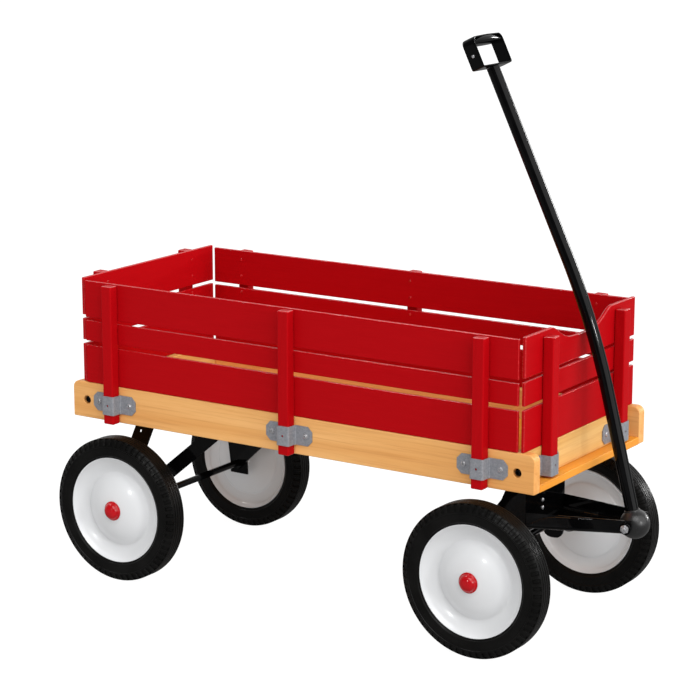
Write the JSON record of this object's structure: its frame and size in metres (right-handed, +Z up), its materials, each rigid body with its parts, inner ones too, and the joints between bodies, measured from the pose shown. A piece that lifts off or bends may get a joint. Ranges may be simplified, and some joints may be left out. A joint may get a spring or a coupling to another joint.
{
  "type": "pull wagon",
  "caption": "Child's pull wagon: wooden bed with lift-off slatted panels, steel disc wheels on rubber tyres, a steered front truck and a swinging loop-grip handle.",
  "frame": {"origin": "on the ground under the middle of the whole wagon's box", "axes": "+X forwards, from the rear wheels to the pull handle's ball; +Y to the wagon's left; +Z up"},
  "size_m": [1.0448, 0.4526, 0.9638],
  "materials": {
    "rail_wood": "clear varnish over light wood with visible grain",
    "floor_wood": "clear varnish over orange-toned wood",
    "painted_wood": "gloss red paint on wood, faint grain",
    "zinc_strap": "galvanised, satin, cool grey",
    "black_steel": "gloss black enamel",
    "bare_steel": "bright plated pins",
    "ball_plastic": "moulded black, semi-gloss",
    "white_steel": "gloss white enamel",
    "tyre_rubber": "moulded black rubber, satin",
    "cap_red": "gloss red"
  },
  "bodies": {
    "bed": {"rail_left": "rail_wood", "rail_right": "rail_wood", "cross_board_front": "rail_wood", "cross_board_rear": "rail_wood", "floor_board": "floor_wood", "strap_left_front": "zinc_strap", "strap_left_middle": "zinc_strap", "strap_left_rear": "zinc_strap", "strap_right_front": "zinc_strap", "strap_right_middle": "zinc_strap", "strap_right_rear": "zinc_strap", "strap_front_left": "zinc_strap", "strap_front_right": "zinc_strap", "strap_rear_left": "zinc_strap", "strap_rear_right": "zinc_strap", "rear_axle_frame": "black_steel", "rear_axle": "black_steel", "front_bolster": "black_steel", "kingpin": "bare_steel"},
    "side_panel_left": {"slat_left_bottom": "painted_wood", "slat_left_middle": "painted_wood", "slat_left_top": "painted_wood", "stake_left_front": "painted_wood", "stake_left_middle": "painted_wood", "stake_left_rear": "painted_wood"},
    "side_panel_right": {"slat_right_bottom": "painted_wood", "slat_right_middle": "painted_wood", "slat_right_top": "painted_wood", "stake_right_front": "painted_wood", "stake_right_middle": "painted_wood", "stake_right_rear": "painted_wood"},
    "end_panel_front": {"slat_front_bottom": "painted_wood", "slat_front_middle": "painted_wood", "slat_front_top": "painted_wood", "stake_front_left": "painted_wood", "stake_front_right": "painted_wood"},
    "end_panel_rear": {"slat_rear_bottom": "painted_wood", "slat_rear_middle": "painted_wood", "slat_rear_top": "painted_wood", "stake_rear_left": "painted_wood", "stake_rear_right": "painted_wood"},
    "front_truck": {"truck_bracket": "black_steel", "front_axle": "black_steel", "tongue": "black_steel", "ball_pin": "bare_steel"},
    "handle": {"handle_ball": "ball_plastic", "handle_tube": "black_steel", "handle_grip": "black_steel"},
    "wheel_front_left": {"wheel_disc_front_left": "white_steel", "tyre_front_left": "tyre_rubber", "hub_cap_front_left": "cap_red"},
    "wheel_front_right": {"wheel_disc_front_right": "white_steel", "tyre_front_right": "tyre_rubber", "hub_cap_front_right": "cap_red"},
    "wheel_rear_left": {"wheel_disc_rear_left": "white_steel", "tyre_rear_left": "tyre_rubber", "hub_cap_rear_left": "cap_red"},
    "wheel_rear_right": {"wheel_disc_rear_right": "white_steel", "tyre_rear_right": "tyre_rubber", "hub_cap_rear_right": "cap_red"}
  },
  "joints": [
    {"name": "steering", "type": "hinge", "parent": "bed", "child": "front_truck", "pos_m": [0.3166, 0, 0.24], "axis": [0, 0, 1], "range_deg": [-20, 20]},
    {"name": "handle_swing", "type": "hinge", "parent": "front_truck", "child": "handle", "pos_m": [0.4976, 0, 0.199], "axis": [0, 1, 0], "range_deg": [0, 110]},
    {"name": "wheel_front_left_spin", "type": "hinge", "parent": "front_truck", "child": "wheel_front_left", "pos_m": [0.3166, 0.1925, 0.127], "axis": [0, 1, 0], "continuous": true},
    {"name": "wheel_front_right_spin", "type": "hinge", "parent": "front_truck", "child": "wheel_front_right", "pos_m": [0.3166, -0.1925, 0.127], "axis": [0, 1, 0], "continuous": true},
    {"name": "wheel_rear_left_spin", "type": "hinge", "parent": "bed", "child": "wheel_rear_left", "pos_m": [-0.3954, 0.1925, 0.127], "axis": [0, 1, 0], "continuous": true},
    {"name": "wheel_rear_right_spin", "type": "hinge", "parent": "bed", "child": "wheel_rear_right", "pos_m": [-0.3954, -0.1925, 0.127], "axis": [0, 1, 0], "continuous": true},
    {"name": "side_panel_left_lift", "type": "slide", "parent": "bed", "child": "side_panel_left", "axis": [0, 0, 1], "range_m": [0, 0.06]},
    {"name": "side_panel_right_lift", "type": "slide", "parent": "bed", "child": "side_panel_right", "axis": [0, 0, 1], "range_m": [0, 0.06]},
    {"name": "end_panel_rear_lift", "type": "slide", "parent": "bed", "child": "end_panel_rear", "axis": [0, 0, 1], "range_m": [0, 0.06]},
    {"name": "end_panel_front_lift", "type": "slide", "parent": "bed", "child": "end_panel_front", "axis": [0, 0, 1], "range_m": [0, 0.015]}
  ]
}
